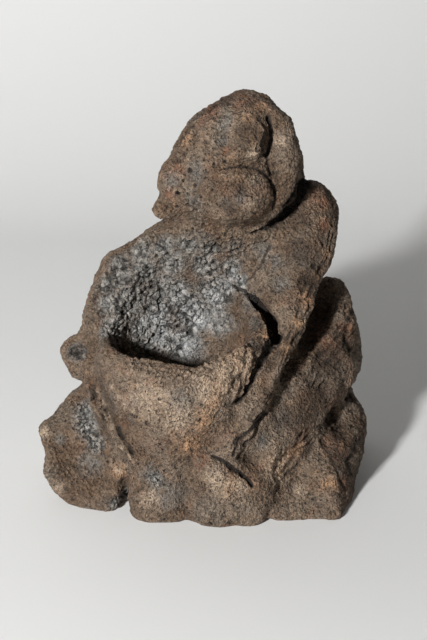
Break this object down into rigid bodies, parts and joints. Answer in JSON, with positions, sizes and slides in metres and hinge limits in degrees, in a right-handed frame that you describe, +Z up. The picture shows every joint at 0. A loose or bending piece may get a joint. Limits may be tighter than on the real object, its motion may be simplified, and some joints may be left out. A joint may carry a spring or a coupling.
{
  "type": "lava rock figure",
  "caption": "Crude seated figure of rough lava stone, head tipped back, both arms round a deep open bowl in its lap, on a flat underside.",
  "frame": {"origin": "centre of the bounding box on the flat underside, at floor level", "axes": "+Z up through the head, -Y the way the figure faces, +X towards the figure's left hand"},
  "size_m": [0.2746, 0.1976, 0.32],
  "materials": {
    "lava_stone": "rough vesicular lava stone, brown-grey, full of open pores (matte plastic stands in for stone)"
  },
  "bodies": {
    "root": {"lava_rock_figure": "lava_stone"}
  },
  "joints": []
}
